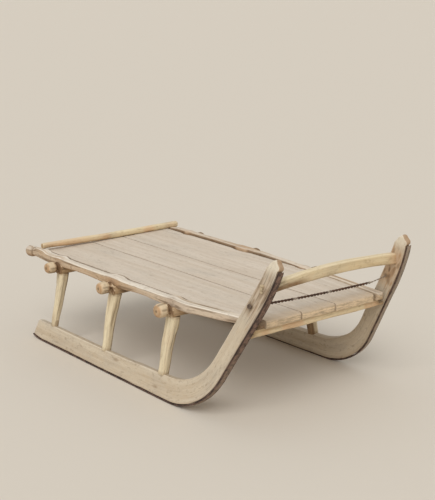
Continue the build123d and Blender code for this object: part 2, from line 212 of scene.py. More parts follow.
# Heights and places read from the frame
BEAM_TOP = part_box("deck_board_middle")[0].z
DECK_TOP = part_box("deck_board_middle")[1].z
KNOB_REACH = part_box("crossbeam_rear")[1].y
REAR_X = (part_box("crossbeam_rear")[0].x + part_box("crossbeam_rear")[1].x) / 2
POLE_X = (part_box("rear_pole")[0].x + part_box("rear_pole")[1].x) / 2 - REAR_X

UP = np.array([0.0, 0.0, 1.0])
FORWARD = np.array([1.0, 0.0, 0.0])
LEFT = np.array([0.0, 1.0, 0.0])

Side = namedtuple("Side", "name sign shift")
RIGHT_SIDE = Side("right", -1, -RACK_SHIFT)
LEFT_SIDE = Side("left", 1, RACK_SHIFT)
SIDES = (RIGHT_SIDE, LEFT_SIDE)

# name, place along X, length of the rails' swelling over it, post across its foot and its head,
# fullness of the right knob and of the left one
Beam = namedtuple("Beam", "name x boss foot head right left")
BEAMS = (
    Beam("rear", 0.0, 0.084, 0.034, 0.052, 1.02, 1.06),
    Beam("middle", REAR_BAY, 0.130, 0.039, 0.052, 1.06, 1.06),
    Beam("front", REAR_BAY + FRONT_BAY, 0.084, 0.042, 0.054, 1.15, 1.0),
)

NOISE_TABLE = np.random.default_rng(11).random(4096)
NOISE_PRIMES = np.array([73856093, 19349663, 83492791])


def smooth(value, low, high):
    """Smoothstep: 3 t squared less 2 t cubed, t the clipped share of the way from low to high."""
    t = np.clip((np.asarray(value, float) - low) / (high - low), 0.0, 1.0)
    return t * t * (3 - 2 * t)


def per_ring(value, low, high):
    """Smoothstep of one value a ring, as a column that spreads over the ring's points."""
    return smooth(value, low, high)[:, None]


def most(*values):
    """Largest of several values, point by point."""
    return functools.reduce(np.maximum, values)


def value_noise(points):
    """Random values of a lattice, blended by smoothstep along each axis, from 0 to 1."""
    cell = np.floor(points).astype(np.int64)
    part = points - cell
    part = part * part * (3 - 2 * part)
    total = np.zeros(points.shape[:-1])
    for corner in np.ndindex(2, 2, 2):
        key = np.bitwise_xor.reduce((cell + np.array(corner)) * NOISE_PRIMES, axis=-1)
        share = np.prod(np.where(np.array(corner) == 1, part, 1 - part), axis=-1)
        total += share * NOISE_TABLE[key % len(NOISE_TABLE)]
    return total


def waviness(points):
    """Two octaves of value noise, from -1 to 1, with humps about one unit wide."""
    broad = value_noise(points)
    fine = value_noise(points * 2.3 + 17.0)
    return (broad * 2 - 1) * 0.7 + (fine * 2 - 1) * 0.3


def waver(distance, rate):
    """Waviness along a line, with a rate of humps to the metre."""
    return waviness(np.outer(distance, [rate, 0.0, 0.0]))


def ridges(grain, length, width):
    """Waviness with humps of a length along the grain and a width across it."""
    return waviness(grain / np.array([length, width, width]))


def patches(grain, length, width, low, high):
    """Scattered patches of a length along the grain and a width across it, from 0 to 1."""
    return smooth(value_noise(grain / np.array([length, width, width])), low, high)


def unit(vectors):
    """Vectors divided by their lengths."""
    return vectors / np.linalg.norm(vectors, axis=-1, keepdims=True)


def run_lengths(points):
    """Distance along a polyline at each of its points."""
    steps = np.linalg.norm(np.diff(points, axis=0), axis=1)
    return np.concatenate([[0.0], np.cumsum(steps)])


def along(points, shares):
    """Points at given shares of a polyline's length."""
    total = run_lengths(points)
    distance = np.asarray(shares) * total[-1]
    return np.stack([np.interp(distance, total, column) for column in points.T], axis=-1)


# Sections carried along paths
Section = namedtuple("Section", "u v cos sin edge")


def oblong(half_u, half_v, corner, flat_u=8, flat_v=8, arc=4):
    """Rounded oblongs, one row a ring: a corner's centre plus its radius times the normal."""
    quarter = math.pi / 2
    shares_u = []
    shares_v = []
    turns = []
    for number, count in enumerate((flat_v, flat_u, flat_v, flat_u)):
        run = np.linspace(-1, 1, count, endpoint=False)
        ones = np.ones(count)
        shares_u += [(ones, -run, -ones, run)[number], np.full(arc, (1, -1, -1, 1)[number])]
        shares_v += [(run, ones, -run, -ones)[number], np.full(arc, (1, 1, -1, -1)[number])]
        bend_round = np.linspace(0, quarter, arc, endpoint=False)
        turns += [np.full(count, number * quarter), bend_round + number * quarter]
    turn = np.concatenate(turns)
    half_u, half_v, corner = np.broadcast_arrays(*np.atleast_1d(half_u, half_v, corner))
    radius = np.minimum(np.minimum(half_u, half_v) * ROUNDEST, corner)[:, None]
    u = (half_u[:, None] - radius) * np.concatenate(shares_u) + radius * np.cos(turn)
    v = (half_v[:, None] - radius) * np.concatenate(shares_v) + radius * np.sin(turn)
    edge = np.broadcast_to(np.abs(np.sin(2 * turn)), u.shape)
    return Section(u, v, np.cos(turn), np.sin(turn), edge)


def carry(path, u_axis, v_axis, section):
    """Path plus u times one axis plus v times the other, and the section's normals."""
    u_axis = np.broadcast_to(u_axis, path.shape)[:, None]
    v_axis = np.broadcast_to(v_axis, path.shape)[:, None]
    rings = path[:, None] + section.u[..., None] * u_axis + section.v[..., None] * v_axis
    normals = section.cos[:, None] * u_axis + section.sin[:, None] * v_axis
    return rings, normals


def tooled(carried, section, grain, marks, chips=0.0, share=1.0):
    """Rings pulled in along their normals by a share of the tool's hollows and by chipped edges."""
    rings, normals = carried
    pull = sum((1 - ridges(grain, mark.length, mark.width)) * mark.depth / 2 for mark in marks)
    chipped = patches(grain, CHIP_LENGTH, CHIP_WIDTH, 0.66, 0.90) * section.edge * chips
    return rings - normals * (pull * share + chipped)[..., None]


def grain_of(distance, section, seed):
    """Grain coordinate: distance along the piece and place in its section, moved by its seed."""
    start = np.array([1.7, 0.31, 0.53]) * seed
    place = np.stack(np.broadcast_arrays(distance[:, None], section.u, section.v), axis=-1)
    return place + start


def rounded_ends(length, radius, spacing):
    """Stations from end to end and how far each ring draws in, a quarter circle at both ends."""
    turn = np.linspace(0, math.pi / 2, 5)[:-1]
    cap = radius * (1 - np.cos(turn))
    draw = radius * (1 - np.sin(turn))
    middle = np.linspace(radius, length - radius, int((length - 2 * radius) / spacing) + 2)
    place = np.concatenate([cap, middle, length - cap[::-1]])
    inset = np.concatenate([draw, np.zeros(len(middle)), draw[::-1]])
    return place, inset


# Of a tube's three marks, the first carries real wearing and painted highlights, the second real dirt
# and painted shade, the third end grain.
Tube = namedtuple("Tube", "rings grain wear grime end warm grey radius", defaults=[0.0] * 6)


def tube_faces(rows, columns):
    """Quads of rings closed round, with a ladder of quads across both ends."""
    ring = np.arange(rows - 1)[:, None] * columns
    column = np.arange(columns)[None, :]
    after = (column + 1) % columns
    corners = (ring + column, ring + after, ring + columns + after, ring + columns + column)
    wall = np.stack(np.broadcast_arrays(*corners), axis=-1).reshape(-1, 4)
    rung = np.arange(columns // 2 - 1)
    ladder = np.stack([rung, columns - 1 - rung, columns - 2 - rung, rung + 1], axis=-1)
    return np.concatenate([wall, ladder, (rows - 1) * columns + ladder[:, ::-1]])


def add_piece(name, tubes, material, nodes):
    """Closed tubes as one mesh at the origin, riding on the sled and standing for its solids."""
    layers = {"co": [], "grain": [], "marks": [], "tints": []}
    faces = []
    first = 0
    for tube in tubes:
        rows, columns = tube.rings.shape[:2]
        faces.append(tube_faces(rows, columns) + first)
        first += rows * columns
        blank = np.zeros((rows, columns))
        shares = [np.clip(blank + share, 0.0, 1.0) for share in tube[2:]]
        marks, tints = (np.stack(three, axis=-1) for three in (shares[:3], shares[3:]))
        for layer, values in zip(layers.values(), (tube.rings, tube.grain, marks, tints)):
            layer.append(values.reshape(-1, 3))
    quads = np.concatenate(faces)
    flat = {label: np.concatenate(layer).astype(np.float32).ravel() for label, layer in layers.items()}
    mesh = bpy.data.meshes.new(name)
    mesh.vertices.add(first)
    mesh.vertices.foreach_set("co", flat.pop("co"))
    mesh.loops.add(quads.size)
    mesh.loops.foreach_set("vertex_index", quads.astype(np.int32).ravel())
    mesh.polygons.add(len(quads))
    mesh.polygons.foreach_set("loop_start", np.arange(0, quads.size, 4, dtype=np.int32))
    mesh.update(calc_edges=True)
    for label, values in flat.items():
        attribute = mesh.attributes.new(label, "FLOAT_VECTOR", "POINT")
        attribute.data.foreach_set("vector", values)
    mesh.polygons.foreach_set("use_smooth", np.ones(len(quads), dtype=bool))
    mesh.set_sharp_from_angle(angle=SHARP_ANGLE)
    mesh.materials.append(material)
    piece = bpy.data.objects.new(name, mesh)
    bpy.context.scene.collection.objects.link(piece)
    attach(piece, "root")
    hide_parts(*nodes)


# Finishes
class Wire:
    """A shader socket that takes part in sums, each of which adds its Math node."""

    def __init__(self, tree, socket=None):
        self.tree = tree
        self.socket = socket

    def add(self, kind, settings=None, inputs=None, output=0):
        """Any node: its settings first, then the values or links of its sockets."""
        node = self.tree.nodes.new(kind)
        for key, value in (settings or {}).items():
            setattr(node, key, value)
        for key, value in (inputs or {}).items():
            if isinstance(value, Wire):
                self.tree.links.new(value.socket, node.inputs[key])
            else:
                node.inputs[key].default_value = value
        return Wire(self.tree, node.outputs[output])

    def maths(self, operation, *values):
        """Math node of any operation."""
        return self.add("ShaderNodeMath", {"operation": operation}, dict(enumerate(values)))

    def __add__(self, other):
        return self.maths("ADD", self, other)

    def __sub__(self, other):
        return self.maths("SUBTRACT", self, other)

    def __rsub__(self, other):
        return self.maths("SUBTRACT", other, self)

    def __mul__(self, other):
        return self.maths("MULTIPLY", self, other)

    def __abs__(self):
        return self.maths("ABSOLUTE", self)

    __radd__ = __add__

    def between(self, low, high):
        """Smooth share of the way from low to high."""
        settings = {"interpolation_type": "SMOOTHSTEP"}
        return self.add("ShaderNodeMapRange", settings, {0: self, 1: low, 2: high})

    def stretched(self, scale):
        """This vector times a scale along each axis."""
        return self.add("ShaderNodeVectorMath", {"operation": "MULTIPLY"}, {0: self, 1: scale})

    def noise(self, scale, detail=3.0, rough=0.55):
        """Noise of this vector, stretched by a scale along each axis."""
        inputs = {"Vector": self.stretched(scale), "Scale": 1.0, "Detail": detail, "Roughness": rough}
        return self.add("ShaderNodeTexNoise", None, inputs)

    def toward(self, factor, colour):
        """This colour mixed with another by a factor."""
        other = colour if isinstance(colour, Wire) else (*colour, 1.0)
        inputs = {0: factor, 6: self, 7: other}
        return self.add("ShaderNodeMix", {"data_type": "RGBA"}, inputs, output=2)

    def part(self, axis):
        """One number of this vector."""
        return self.add("ShaderNodeSeparateXYZ", None, {0: self}, output=axis)


def srgb(red, green, blue):
    """Linear colour of an sRGB one given from 0 to 255."""
    levels = np.array([red, green, blue]) / 255
    return tuple(float(level) for level in ((levels + 0.055) / 1.055) ** 2.4)


def linear(tones):
    """The same finish with its sRGB colours made linear."""
    return tones._make(srgb(*tone) if isinstance(tone, tuple) else tone for tone in tones)


def darker(colour, share):
    """Colour times a share."""
    return tuple(level * share for level in colour)


def new_material(name, specular):
    """New material and its shader."""
    material = bpy.data.materials.new(name)
    material.use_nodes = True
    shader = material.node_tree.nodes["Principled BSDF"]
    shader.inputs["Specular IOR Level"].default_value = specular
    return material, shader


def start_material(name, specular):
    """New material with its shader, the grain coordinate, and the marks and tints of its meshes."""
    material, shader = new_material(name, specular)
    first = Wire(material.node_tree)
    grain, marks, tints = (first.add("ShaderNodeAttribute", {"attribute_name": label}, output="Vector")
                           for label in ("grain", "marks", "tints"))
    marks, tints = ([vector.part(axis) for axis in range(3)] for vector in (marks, tints))
    return material, shader, grain, marks, tints


def blend_of(factor, one, other):
    """Colour between two plain ones."""
    inputs = {0: factor, 6: (*one, 1.0), 7: (*other, 1.0)}
    return factor.add("ShaderNodeMix", {"data_type": "RGBA"}, inputs, output=2)


def finish_material(shader, colour, roughness, height, depth):
    """Link colour, roughness and a bump that is a depth deep."""
    bump = colour.add("ShaderNodeBump", None, {"Height": height, "Distance": depth})
    colour.tree.links.new(colour.socket, shader.inputs["Base Color"])
    colour.tree.links.new(roughness.socket, shader.inputs["Roughness"])
    colour.tree.links.new(bump.socket, shader.inputs["Normal"])


# Tones in sRGB, then how strongly the fibres, mottling, cracks and knots show
# The pale bleaching tone also colours painted highlights.
Wood = namedtuple("Wood", "pale mid dark warm grey bleach blotch heart fibre mottle cracks knots")


def weathered_wood(name, tones):
    """Old bleached wood: bands, fibres, flecks, mottling, stains, drying cracks, knots, end grain."""
    tones = linear(tones)
    material, shader, grain, (wear_and_highlight, grime_and_shade, end), (warm, grey, radius) = start_material(name, 0.25)
    bands = grain.noise((1.8, 42.0, 42.0), 3.0, 0.55)
    fibre = grain.noise((8.0, 260.0, 260.0), 4.0, 0.6)
    flecks = grain.noise((45.0, 430.0, 430.0), 2.0, 0.5)
    mottle = grain.noise((36.0, 58.0, 58.0), 4.0, 0.65)
    stain = grain.noise((5.0, 12.0, 12.0), 3.0, 0.6)
    streak = grain.noise((1.5, 60.0, 60.0), 2.0, 0.5)
    hair = 1.0 - abs(streak - 0.5).between(0.002, 0.012)
    gape = 1.0 - abs(streak - 0.5).between(0.004, 0.030)
    crack = hair * stain.between(0.56, 0.66) * tones.cracks + gape * grey * 0.8
    cells = grain.add("ShaderNodeTexVoronoi", None,
                      {"Vector": grain.stretched((4.5, 11.0, 11.0)), "Scale": 1.0})
    knot = (1.0 - cells.between(0.03, 0.11)) * tones.knots

    colour = blend_of(bands.between(0.30, 0.70), tones.pale, tones.mid)
    colour = colour.toward(fibre.between(0.48, 0.80) * tones.fibre, tones.dark)
    colour = colour.toward(stain.between(0.42, 0.70) * 0.5, tones.grey)
    colour = colour.toward(mottle.between(0.50, 0.74) * tones.mottle, tones.blotch)
    colour = colour.toward((1.0 - mottle.between(0.28, 0.46)) * tones.mottle, tones.dark)
    colour = colour.toward(warm * (0.30 + mottle * 0.9), tones.warm)
    colour = colour.toward(grey * (0.25 + stain * 0.9), tones.grey)
    # Paler for worn wood and painted highlights, then darker for dirt and painted shade.
    colour = colour.toward(wear_and_highlight * (0.35 + mottle * 0.8), tones.bleach)
    colour = colour.toward(flecks.between(0.60, 0.74) * 0.45, tones.dark)
    colour = colour.toward(grime_and_shade * (0.40 + mottle * 0.9), tones.dark)
    colour = colour.toward(knot, darker(tones.warm, 0.45))
    colour = colour.toward(crack * 0.85, darker(tones.dark, 0.4))
    rings = grain.maths("SINE", radius * 2100.0 + mottle * 6.0)
    layers = grain.noise((2.0, 26.0, 210.0), 3.0, 0.6)
    end_grain = blend_of(layers.between(0.42, 0.62), tones.heart, darker(tones.heart, 0.58))
    end_grain = end_grain.toward(rings.between(0.1, 0.9) * 0.25, tones.dark)
    end_grain = end_grain.toward(grime_and_shade, darker(tones.dark, 0.45))
    colour = colour.toward(end, end_grain)

    roughness = 0.68 + fibre * 0.2 + grime_and_shade * 0.08 - wear_and_highlight * 0.08
    height = fibre * 0.6 + bands * 0.25 + mottle * 0.4 - flecks * 0.3 - crack * 1.6
    finish_material(shader, colour, roughness, height, 0.0010)
    return material


Iron = namedtuple("Iron", "plain rust edge bright")


def rusted_iron(name, tones):
    """Old strap iron and wire: brown rust in patches, pitted, scoured brighter where it wears."""
    tones = linear(tones)
    material, shader, grain, (wear_and_highlight, grime_and_shade, end) = start_material(name, 0.4)[:4]
    rusty = grain.noise((48.0, 75.0, 75.0), 4.0, 0.72)
    pits = grain.noise((220.0, 300.0, 300.0), 2.0, 0.5)
    scour = grain.noise((9.0, 280.0, 280.0), 2.0, 0.5)
    colour = blend_of(rusty.between(0.42, 0.58), tones.plain, tones.rust)
    colour = colour.toward(wear_and_highlight * (0.25 + scour * 0.8), tones.bright)
    colour = colour.toward(pits.between(0.52, 0.70) * 0.5, tones.edge)
    colour = colour.toward((1.0 - rusty.between(0.26, 0.44)) * 0.6, tones.edge)
    colour = colour.toward(grime_and_shade, tones.edge)
    roughness = 0.76 - wear_and_highlight * 0.2 + pits * 0.15 - end * 0.1
    finish_material(shader, colour, roughness, pits * 0.6 + rusty * 0.7, 0.0006)
    return material


RUNNER_WOOD = weathered_wood("runner_wood", Wood(
    pale=(207, 193, 170), mid=(192, 175, 150), dark=(132, 108, 82), warm=(186, 146, 108),
    grey=(184, 172, 154), bleach=(228, 217, 196), blotch=(188, 166, 136), heart=(176, 148, 114),
    fibre=0.38, mottle=0.45, cracks=0.35, knots=0.5))
DECK_WOOD = weathered_wood("deck_wood", Wood(
    pale=(213, 200, 183), mid=(202, 187, 168), dark=(156, 136, 114), warm=(208, 182, 148),
    grey=(200, 189, 173), bleach=(224, 214, 200), blotch=(206, 188, 164), heart=(224, 198, 162),
    fibre=0.30, mottle=0.30, cracks=0.30, knots=0.2))
HEWN_WOOD = weathered_wood("hewn_wood", Wood(
    pale=(206, 182, 146), mid=(180, 150, 112), dark=(88, 64, 44), warm=(190, 144, 98),
    grey=(170, 150, 124), bleach=(220, 202, 172), blotch=(186, 142, 100), heart=(194, 160, 126),
    fibre=0.45, mottle=0.50, cracks=0.6, knots=0.4))
POLE_WOOD = weathered_wood("pole_wood", Wood(
    pale=(224, 206, 168), mid=(208, 184, 142), dark=(134, 104, 72), warm=(206, 166, 126),
    grey=(182, 166, 140), bleach=(232, 219, 188), blotch=(210, 176, 138), heart=(186, 154, 116),
    fibre=0.36, mottle=0.40, cracks=0.4, knots=0.4))
RAIL_WOOD = weathered_wood("rail_wood", Wood(
    pale=(208, 190, 164), mid=(186, 160, 128), dark=(108, 84, 60), warm=(178, 132, 90),
    grey=(196, 182, 162), bleach=(234, 226, 212), blotch=(188, 152, 112), heart=(200, 172, 134),
    fibre=0.45, mottle=0.55, cracks=0.8, knots=0.5))
STRAP_IRON = rusted_iron("strap_iron", Iron(
    plain=(72, 54, 47), rust=(130, 101, 86), edge=(46, 35, 30), bright=(180, 163, 141)))
TIE_IRON = rusted_iron("tie_iron", Iron(
    plain=(80, 58, 46), rust=(98, 70, 52), edge=(50, 38, 32), bright=(206, 193, 174)))


# The leaning plank's own plane: x forward from the rear crossbeam, height up the plank
def step(point, length, angle):
    """Point reached by going a length at an angle above the sole."""
    return np.array([point[0] + length * math.cos(angle), point[1] + length * math.sin(angle)])


def bend(point, radius, angle, turn, count=40):
    """Points of an arc that sets out at an angle and turns on by another."""
    centre = step(point, radius, angle + math.pi / 2)
    sweep = np.linspace(0, turn, count) + angle - math.pi / 2
    return centre + radius * np.stack([np.cos(sweep), np.sin(sweep)], axis=-1)


def round_corner(corner, angle_in, angle_out, radius):
    """Arc that rounds the corner of two lines at given angles."""
    turn = angle_out - angle_in
    start = step(corner, -radius * math.tan(turn / 2), angle_in)
    return bend(start, radius, angle_in, turn)


KNEE = BEAMS[2].x + KNEE_LEAD
RAMP_START = BEAMS[1].x + RAMP_LEAD
TIP_ANGLE = HORN_ANGLE + HORN_CURL
KNEE_FRONT = np.array([KNEE, SHOE_THICKNESS])
KNEE_SHIFT = (KNEE_TOP - SHOE_THICKNESS) / math.tan(HORN_ANGLE) - HORN_WIDTH / math.sin(HORN_ANGLE)
KNEE_BACK = np.array([KNEE + KNEE_SHIFT, KNEE_TOP])
RAMP_SLOPE = math.atan2(KNEE_TOP - RUNNER_TOP, KNEE_BACK[0] - RAMP_START)
CURL_FRONT = step(KNEE_FRONT, HORN_LENGTH, HORN_ANGLE)
CURL_BACK = step(step(CURL_FRONT, HORN_WIDTH, HORN_ANGLE + math.pi / 2), CURL_BACK_LEAD, HORN_ANGLE)
FRONT_CURL = bend(CURL_FRONT, CURL_RADIUS, HORN_ANGLE, HORN_CURL)
BACK_CURL = bend(CURL_BACK, CURL_BACK_RADIUS, HORN_ANGLE, HORN_BACK_CURL)
BEVEL_FRONT = step(FRONT_CURL[-1], TIP_FRONT, TIP_ANGLE)
CROWN_FRONT = step(BEVEL_FRONT, TIP_BEVEL, TIP_ANGLE + TIP_BEVEL_TURN)
CROWN_BACK = step(CROWN_FRONT, TIP_CROWN, TIP_ANGLE + TIP_BEVEL_TURN + TIP_CROWN_TURN)
BEVEL_BACK = step(BACK_CURL[-1], TIP_BACK, HORN_ANGLE + HORN_BACK_CURL)
SHOE_DEPTH = SHOE_THICKNESS + PLANK_THICKNESS / 2 * math.tan(SIDE_LEAN)
SHOE_END = FRONT_CURL[-1][1] + SHOE_PAST
HALF_WALL = PLANK_THICKNESS / 2 / math.cos(SIDE_LEAN)
BEAM_BOTTOM = BEAM_TOP - BEAM_HEIGHT
BEAM_HALF_LENGTH = SOLE_HALF_GAUGE - BEAM_BOTTOM * math.tan(SIDE_LEAN) + BEAM_PAST_POST


def front_spans():
    """Lower and front edge of the plank in spans: sole with its curled heel, knee, horn, curl, tip."""
    knee = round_corner(KNEE_FRONT, 0.0, HORN_ANGLE, KNEE_RADIUS)
    bevel = round_corner(BEVEL_FRONT, TIP_ANGLE, TIP_ANGLE + TIP_BEVEL_TURN, TIP_ROUND)
    heel_start = np.array([HEEL_RADIUS * math.sin(HEEL_TURN) - TAIL_BOTTOM, SHOE_THICKNESS])
    heel = bend(heel_start, HEEL_RADIUS, 0.0, -HEEL_TURN)
    sole = np.concatenate([heel[::-1], knee[:1]])
    horn = np.array([knee[-1], CURL_FRONT])
    tip = np.concatenate([FRONT_CURL[-1:], bevel, [CROWN_FRONT]])
    return [sole, knee, horn, FRONT_CURL, tip]


def back_spans():
    """Upper and back edge of the plank, each span facing one of the front edge's."""
    knee = round_corner(KNEE_BACK, RAMP_SLOPE, HORN_ANGLE, KNEE_BACK_RADIUS)
    top = np.array([[-TAIL_TOP, RUNNER_TOP], [RAMP_START, RUNNER_TOP], knee[0]])
    horn = np.array([knee[-1], CURL_BACK])
    tip = np.array([BACK_CURL[-1], BEVEL_BACK, CROWN_BACK])
    return [top, knee, horn, BACK_CURL, tip]


def paired_points(spans):
    """Points on each span, closer together at the tail's and the tip's end."""
    counts = (150, 60, 52, 34, 20)
    shares = [np.linspace(0, 1, count, endpoint=False) for count in counts]
    shares[0] = shares[0] ** 1.25
    shares[-1] = 1 - (1 - np.linspace(0, 1, counts[-1])) ** 1.7
    return np.concatenate([along(span, share) for span, share in zip(spans, shares)])


def plank(side, flat, out=0.0):
    """World points of the plank's plane, moved outward from its middle."""
    x = flat[..., 0] + side.shift + REAR_X
    inward = flat[..., 1] * math.sin(SIDE_LEAN)
    y = side.sign * (SOLE_HALF_GAUGE - inward + out * math.cos(SIDE_LEAN))
    z = flat[..., 1] * math.cos(SIDE_LEAN) + out * math.sin(SIDE_LEAN)
    return np.stack(np.broadcast_arrays(x, y, z), axis=-1)


def outward(side):
    """Outward normal of a leaning plank."""
    return np.array([0.0, side.sign * math.cos(SIDE_LEAN), math.sin(SIDE_LEAN)])


def horn_middle(height):
    """Middle of the horn at a height up the plank."""
    front = KNEE + (height - SHOE_THICKNESS) / math.tan(HORN_ANGLE)
    return front - HORN_WIDTH / 2 / math.sin(HORN_ANGLE)


FRONT_BEAM_ALONG = (BEAM_TOP - FRONT_BEAM_HEIGHT / 2) / math.cos(SIDE_LEAN)
FRONT_BEAM_AT = np.array([horn_middle(FRONT_BEAM_ALONG) + FRONT_BEAM_LEAD, FRONT_BEAM_ALONG])
BOW_ALONG = DECK_TOP / math.cos(SIDE_LEAN) + BOW_CLEARANCE + BOW_END_HEIGHT / 2
BOW_AT = np.array([horn_middle(BOW_ALONG) - BOW_BACK, BOW_ALONG])
TIE_ALONG = BOW_ALONG - BOW_END_HEIGHT / 2 - TIE_DROP
TIE_AT = np.array([horn_middle(TIE_ALONG) - TIE_BACK, TIE_ALONG])


def front_edge(top=math.inf):
    """Plank's front edge up to a height, and its directions away from the wood."""
    edge = paired_points(front_spans())
    edge = edge[edge[:, 1] <= top]
    ahead = unit(np.gradient(edge, axis=0))
    return edge, np.stack([ahead[:, 1], -ahead[:, 0]], axis=-1)


def shod_edge():
    """Plank's front edge let into the iron, and swollen where the iron ends."""
    edge, away = front_edge()
    above = edge[:, 1] - SHOE_END
    shod = smooth(above, 0.0, -0.02)
    swell = TIP_SWELL * smooth(above, -0.004, 0.003) * smooth(above, 0.024, 0.010)
    return edge + away * (SHOE_LAP * shod + swell)[:, None]


def near_spot(rings, spot, reach):
    """1 at a spot, falling off to 0 at a reach from it."""
    return 1 - smooth(np.linalg.norm(rings - spot, axis=-1), 0.3 * reach, reach)


def make_runner(side, seed):
    """Plank: rounded oblongs between paired points of its two edges, drawn in at both ends."""
    front = plank(side, shod_edge())
    back = plank(side, paired_points(back_spans()))
    middle = (front + back) / 2
    distance = run_lengths(middle)
    to_tip = distance[-1] - distance
    into_tip = np.clip(TIP_ROUND - to_tip, 0, TIP_ROUND)
    round_tip = TIP_ROUND - np.sqrt(TIP_ROUND ** 2 - into_tip ** 2)
    inset = round_tip + PLANK_END_DRAW * np.clip(1 - distance / PLANK_END_RUN, 0, 1) ** 2
    half_width = np.linalg.norm(front - back, axis=1) / 2
    corner = PLANK_EDGE + PLANK_EDGE_WAVER * waver(distance + seed, 14.0)
    section = oblong(half_width - inset, PLANK_THICKNESS / 2 - inset, corner,
                     flat_u=26, flat_v=8, arc=5)
    grain = grain_of(distance, section, seed)
    carried = carry(middle, unit(front - back), side.sign * outward(side), section)
    rings = tooled(carried, section, grain, RUNNER_MARKS, chips=0.003)

    outer = plank(side, TIE_AT, PLANK_THICKNESS / 2)
    inner = plank(side, TIE_AT, -PLANK_THICKNESS / 2)
    bow_inner = plank(side, BOW_AT, -PLANK_THICKNESS / 2)
    # Dark spots where the tie passes through the horn are painted shade of holes that are not cut.
    holes = near_spot(rings, outer, 0.012) + near_spot(rings, inner, 0.014)
    joints = near_spot(rings, bow_inner, 0.085) + near_spot(rings, inner, 0.060)
    high = per_ring(to_tip, 0.30, 0.20) * per_ring(to_tip, 0.02, 0.07)
    tip = per_ring(to_tip, 0.070, 0.010)
    tail = per_ring(distance, 0.004, 0.0)
    sole = smooth(section.u / half_width[:, None], 0.78, 1.0) * 0.35
    # The tip's front bevel face is painted shade: darker, warmer and kept from turning pale.
    bevel = per_ring(to_tip, 0.062, 0.050) * smooth(section.cos, 0.45, 0.95) * 0.9
    patchy = patches(grain, 0.022, 0.009, 0.45, 0.75)
    stripes = patches(grain, 0.040, 0.005, 0.58, 0.80) * high
    wear_and_highlight = (section.edge * 0.6 + tip * 1.2) * (1 - bevel)
    grime_and_shade = most(sole + holes + joints * patchy * 0.7, bevel * 0.5, stripes * 0.35)
    warm = joints * 0.55 + sole * 0.8 + stripes * 0.8 + bevel
    grey = high * smooth(side.sign * section.v, -0.012, 0.012) * 0.8
    tube = Tube(rings, grain, wear_and_highlight, grime_and_shade, tail * 0.7, warm, grey)
    add_piece(f"hewn_runner_{side.name}", [tube], RUNNER_WOOD, [f"runner_{side.name}"])


def make_shoe(side, seed, scoured):
    """Strap iron: flat section along the plank's front edge, thin at its top, worn level below."""
    edge, away = front_edge(SHOE_END)
    middle = plank(side, edge + away * (SHOE_DEPTH + SHOE_LAP) / 2)
    under = unit(plank(side, edge + away) - plank(side, edge))
    distance = run_lengths(middle)
    to_end = distance[-1] - distance
    inset = SHOE_END_DRAW * np.clip(1 - to_end / SHOE_END_RUN, 0, 1) ** 2
    half_depth = (SHOE_DEPTH - SHOE_LAP) / 2 - SHOE_THIN * smooth(to_end, 0.035, 0.0)
    section = oblong(half_depth - inset, PLANK_THICKNESS / 2 - SHOE_INSET - inset, SHOE_EDGE,
                     flat_u=3, flat_v=14, arc=3)
    grain = grain_of(distance, section, seed)
    carried = carry(middle, under, side.sign * outward(side), section)
    rings = tooled(carried, section, grain, SHOE_MARKS)
    rings[..., 2] = np.maximum(rings[..., 2], 0.0)

    to_side = PLANK_THICKNESS / 2 - np.abs(section.v)
    face = smooth(section.cos, 0.5, 1.0) * smooth(to_side, 0.002, 0.007)
    sides = most(smooth(np.abs(section.sin), 0.4, 0.9), smooth(-section.cos, 0.4, 0.9))
    rim = smooth(np.abs(section.v), 0.0090, 0.0125) * 0.8
    knee = per_ring(edge[:, 1], 0.34, 0.14)
    wear_and_highlight = face * most(0.09 + 0.38 * knee, scoured)
    rim = rim * (1 - 0.5 * most(knee, min(scoured, 1.0)))
    tube = Tube(rings, grain, wear_and_highlight, most(sides * (0.18 if scoured else 0.45), rim))
    add_piece(f"strap_shoe_{side.name}", [tube], STRAP_IRON, [f"runner_shoe_{side.name}"])


